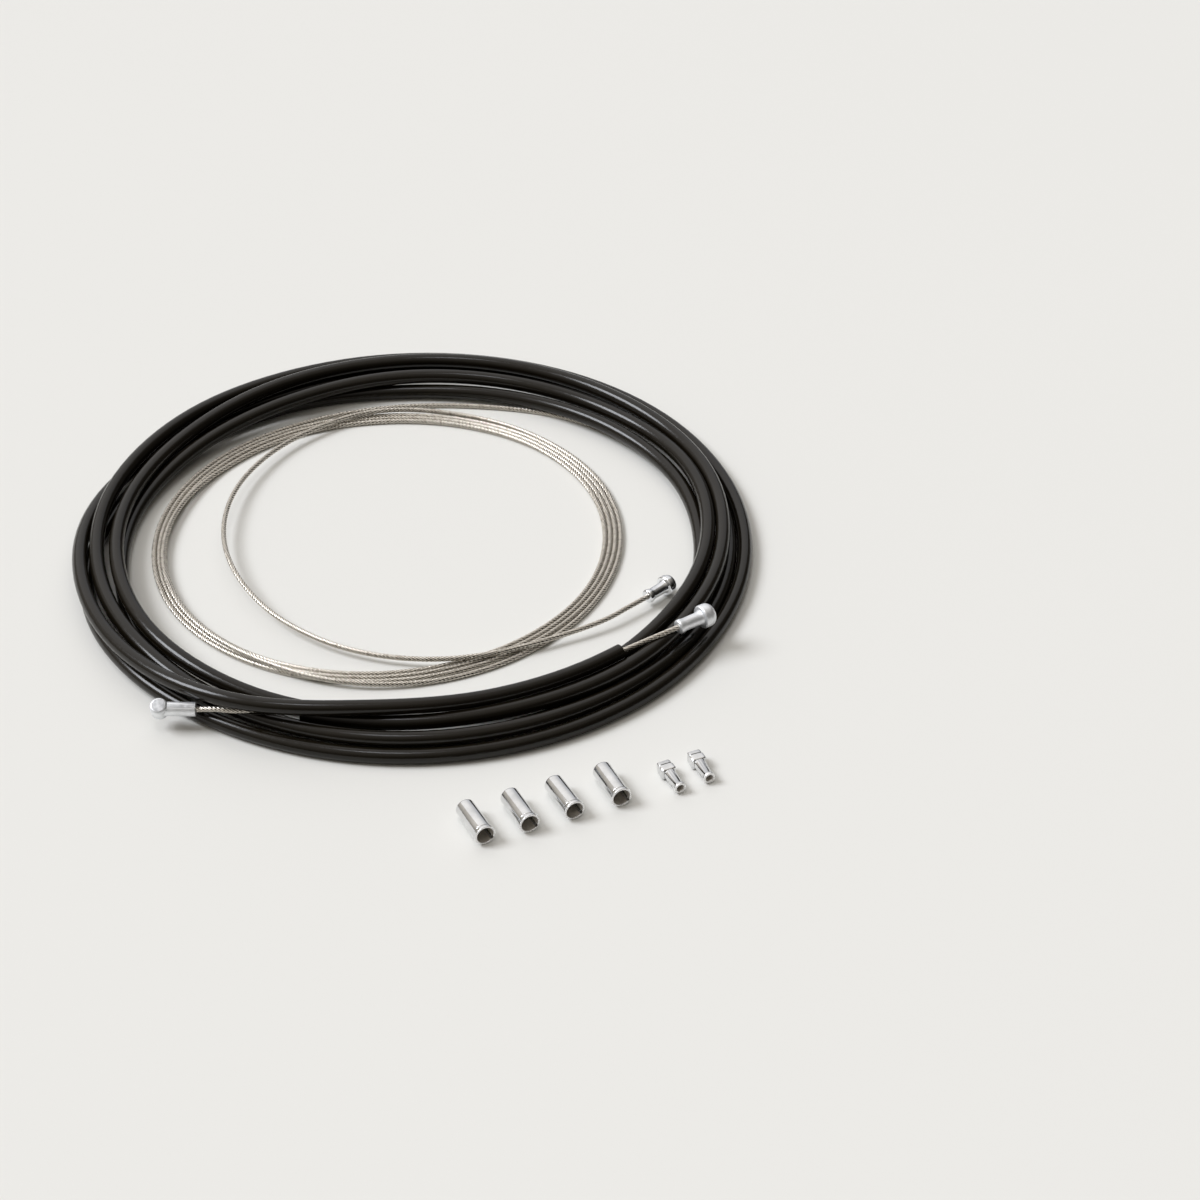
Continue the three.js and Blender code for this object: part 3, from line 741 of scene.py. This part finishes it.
def barrel():
    """The barrel and its shank in one casting, with sawn flat ends."""
    upright = barrel_upright()
    half = BARREL_HEIGHT / 2
    radius = BARREL_DIAMETER / 2
    edge = BARREL_CHAMFER
    body = turned("barrel", rounded_profile([
        (0.0, -half),
        (radius - edge, -half, 0.25),
        (radius, -half + edge, 0.4),
        (radius, half - edge, 0.4),
        (radius - edge, half, 0.25),
        (0.0, half),
    ]), HEAD_SEGMENTS, barrel_centre, upright)
    shank = SHANK_DIAMETER / 2
    reach = radius + SHANK_LENGTH
    stem = turned("stem", rounded_profile([
        (0.0, 0.0),
        (shank, 0.0, 0.3),
        (shank, reach, 0.3),
        (head_bore, reach, 0.1),
        (head_bore, reach - HEAD_BORE_DEPTH, 0.05),
        (0.0, reach - HEAD_BORE_DEPTH),
    ]), HEAD_SEGMENTS, barrel_centre, barrel_axis)
    obj = smooth_by_angle(joined("barrel_casting", body, stem), BARREL_SHARP)
    finish_piece(obj, "barrel_head", "cast_head", cast_material, sawn_material)
    for polygon in obj.data.polygons:
        if abs(np.dot(polygon.normal, upright)) > BARREL_END_FACING:
            polygon.material_index = 1


mushroom("housed_head", HOUSED_HEAD, mushroom_mouth, mushroom_axis,
         "mushroom_head_housed", "cast_head", cast_material)
mushroom("loose_head", LOOSE_HEAD, loose_mouth, loose_axis,
         "mushroom_head_loose", "bright_head", bright_material)
barrel()

# Ferrules and end tips

def ferrule_profile(body, lip, socket):
    hole = FERRULE_HOLE / 2
    length = FERRULE_LENGTH
    lip_start = length - FERRULE_LIP_LENGTH
    groove = body - FERRULE_GROOVE_DEPTH
    return rounded_profile([
        (hole, 0.0),
        (body - FERRULE_END_EDGE, 0.0, 0.3),
        (body, FERRULE_END_EDGE, 0.3),
        (body, lip_start - 0.5, 0.1),
        (groove, lip_start - 0.3, 0.1),
        (groove, lip_start - 0.1, 0.1),
        (lip, lip_start, 0.12),
        (lip, length - 0.15, 0.15),
        (lip - 0.1, length, 0.1),
        (socket + 0.1, length, 0.1),
        (socket, length - FERRULE_MOUTH_EDGE, 0.15),
        (socket, FERRULE_END_WALL, 0.3),
        (hole, FERRULE_END_WALL, FERRULE_HOLE_EDGE),
        (hole, 0.0),
    ])


def ferrule(index, mouth_place, end_place):
    body = FERRULE_BODY / 2
    lip = FERRULE_LIP / 2
    socket = (CASING_OUTER + FERRULE_FIT) / 2
    end = by_ring((*end_place, body))
    mouth = by_ring((*mouth_place, lip))
    axis = unit(mouth - end)
    start = mouth - axis * FERRULE_LENGTH

    def nicked(r, h, angle):
        at_mouth = h > FERRULE_LENGTH - NICK_LENGTH and r < socket + NICK_REACH
        at_nick = abs(math.degrees(angle) - NICK_TURN) < NICK_HALF_ANGLE
        return r + NICK_DEPTH if at_mouth and at_nick else r

    obj = turned(f"ferrule_cap_{index}", ferrule_profile(body, lip, socket), FERRULE_SEGMENTS,
                 start, axis, closed=True, shape=nicked)
    smooth_by_angle(obj, FITTING_SHARP)
    finish_piece(obj, f"ferrule_{index}", "fitting_metal", *FITTING_MATERIALS)
    # Slot 1 is the socket's inside; slot 2, on the mouth's rim, is a painted highlight
    socket_floor = FERRULE_END_WALL - FERRULE_HOLE_EDGE
    for polygon in obj.data.polygons:
        centre = np.array(polygon.center) / MM - SHIFT - start
        along = centre.dot(axis)
        across = np.linalg.norm(centre - along * axis)
        if across <= socket and socket_floor < along < FERRULE_LENGTH - FERRULE_SOCKET_START:
            polygon.material_index = 1
        elif along > FERRULE_LENGTH - FERRULE_MOUTH_EDGE:
            polygon.material_index = 2


def tip_rings():
    """Half width, half height, squareness and height of each ring, and the material after it."""
    width = TIP_BLOCK_WIDTH / 2
    height = TIP_BLOCK_HEIGHT / 2
    tube_radius = TIP_TUBE_DIAMETER / 2
    flare = TIP_FLARE_DIAMETER / 2
    bore = TIP_BORE_DIAMETER / 2
    rings = [(width - a, height - b, square, z, 0) for a, b, square, z in TIP_BLOCK_RINGS]
    rings.append((tube_radius + 0.05, tube_radius, 0.1, TIP_BLOCK_LENGTH + 0.05, 0))
    # Slot 2 at the mouth's rim is a painted highlight; slot 1 is the bore
    for radius, inwards, slot in [
        (tube_radius, TIP_FLARE_LENGTH + 0.3, 0),
        (flare, TIP_FLARE_LENGTH, 0),
        (flare, 0.2, 2),
        (flare - 0.1, 0.0, 2),
        (bore + 0.2, 0.0, 2),
        (bore, 0.3, 1),
        (bore, TIP_BORE_DEPTH, 1),
    ]:
        rings.append((radius, radius, 0.0, TIP_LENGTH - inwards, slot))
    return rings


def tip_ring(half_width, half_height, square):
    """Points of a ring that is round where square is 0, and nearly square where it is 1."""
    power = ROUND_POWER + square * (SQUARE_POWER - ROUND_POWER)
    ring = []
    for i in range(TIP_SIDES):
        angle = (i + 0.5) / TIP_SIDES * 2 * math.pi
        c = math.cos(angle)
        s = math.sin(angle)
        reach = (abs(c) ** power + abs(s) ** power) ** (-1 / power)
        ring.append((half_width * reach * c, half_height * reach * s))
    return ring


def end_tip(index, mouth_place, end_place):
    rest_height = TIP_BLOCK_HEIGHT / 2
    tilt = (TIP_FLARE_DIAMETER / 2 - rest_height) / (TIP_LENGTH - TIP_BLOCK_LENGTH)
    origin = by_ring((*end_place, rest_height + TIP_FLOOR_GAP))
    flat = unit(by_ring((*mouth_place, rest_height + TIP_FLOOR_GAP)) - origin)
    axis = unit(flat + np.array([0.0, 0.0, tilt]))
    side = side_of(axis)
    up = np.cross(axis, side)
    rings = tip_rings()
    vertices = []
    for half_width, half_height, square, z, _ in rings:
        for x, y in tip_ring(half_width, half_height, square):
            vertices.append(origin + x * side + y * up + z * axis)
    faces = []
    slots = []
    for r in range(len(rings) - 1):
        faces += band(r * TIP_SIDES, (r + 1) * TIP_SIDES, TIP_SIDES)
        slots += [rings[r][-1]] * TIP_SIDES
    block_end = tuple(range(TIP_SIDES))
    bore_end = tuple((len(rings) - 1) * TIP_SIDES + i for i in block_end)
    faces += [block_end[::-1], bore_end]
    slots += [rings[0][-1], rings[-1][-1]]
    obj = smooth_by_angle(mesh_object(f"crimp_tip_{index}", vertices, faces), FITTING_SHARP)
    finish_piece(obj, f"end_tip_{index}", "fitting_metal", *FITTING_MATERIALS)
    obj.data.polygons.foreach_set("material_index", slots)


for number, (mouth, end) in enumerate(FERRULES, 1):
    ferrule(number, mouth, end)
for number, (mouth, end) in enumerate(TIPS, 1):
    end_tip(number, mouth, end)

# Stage

FLOOR_COLOUR = (0.735, 0.730, 0.697)
FLOOR_SHADE = 0.99
FLOOR_SPOTS = 4.0
FLOOR_HALF = 3000.0


def make_floor():
    half = FLOOR_HALF
    corners = [(-half, -half, 0), (half, -half, 0), (half, half, 0), (-half, half, 0)]
    floor = mesh_object("floor", corners, [(0, 1, 2, 3)], smooth=False)
    floor.location.z = -SHIFT[2] * MM
    material, nodes, links, shader = new_material("floor_paper")
    grain = noise(nodes, links, object_coordinate(nodes), FLOOR_SPOTS)
    low = tuple(FLOOR_SHADE * c for c in FLOOR_COLOUR)
    links.new(mixed_colour(nodes, links, grain, low, FLOOR_COLOUR), shader.inputs["Base Color"])
    shader.inputs["Roughness"].default_value = 0.6
    shader.inputs["Specular IOR Level"].default_value = 0.15
    floor.data.materials.append(material)


make_floor()

# Soft lamps from the left, from behind and from overhead: towards the lamp, strength and width
LAMPS = {
    "key": ((-0.70, 0.06, 0.71), 2.4, 28.0),
    "back": ((-0.08, 0.78, 0.62), 0.56, 74.0),
    "top": ((-0.12, -0.10, 0.98), 0.22, 12.0),
}
LAMP_COLOUR = (0.97, 1.0, 1.07)
LAMP_DISTANCE = 1000.0

# Sky that is bright overhead and dim on the camera's side
SKY_COLOUR = (1.0, 0.935, 0.845)
SKY_BRIGHT_SIDE = (-0.40, 0.14, 0.90)
SKY_DIM = 0.07
SKY_BRIGHT = 0.70
SKY_EDGE = 0.1


def soft_lamp(name, direction, strength, width):
    data = bpy.data.lights.new(name, "SUN")
    data.energy = strength
    data.angle = math.radians(width)
    data.color = LAMP_COLOUR
    lamp = bpy.data.objects.new(name, data)
    bpy.context.scene.collection.objects.link(lamp)
    lamp.location = placed(LAMP_DISTANCE * unit(direction))
    lamp.rotation_euler = Vector(direction).to_track_quat("Z", "Y").to_euler()


def make_sky():
    world = bpy.data.worlds.new("sky")
    bpy.context.scene.world = world
    world.use_nodes = True
    nodes = world.node_tree.nodes
    links = world.node_tree.links
    dot = nodes.new("ShaderNodeVectorMath")
    dot.operation = "DOT_PRODUCT"
    dot.inputs[1].default_value = tuple(unit(SKY_BRIGHT_SIDE))
    links.new(nodes.new("ShaderNodeTexCoord").outputs["Generated"], dot.inputs[0])
    soft = nodes.new("ShaderNodeMapRange")
    soft.interpolation_type = "SMOOTHSTEP"
    soft.inputs["From Min"].default_value = SKY_EDGE
    soft.inputs["From Max"].default_value = 1.0
    soft.inputs["To Min"].default_value = SKY_DIM
    soft.inputs["To Max"].default_value = SKY_BRIGHT
    links.new(dot.outputs["Value"], soft.inputs["Value"])
    background = nodes["Background"]
    background.inputs["Color"].default_value = (*SKY_COLOUR, 1.0)
    links.new(soft.outputs["Result"], background.inputs["Strength"])


for lamp_name, (direction, strength, width) in LAMPS.items():
    soft_lamp(lamp_name, direction, strength, width)
make_sky()

bpy.context.scene.view_settings.view_transform = "Standard"
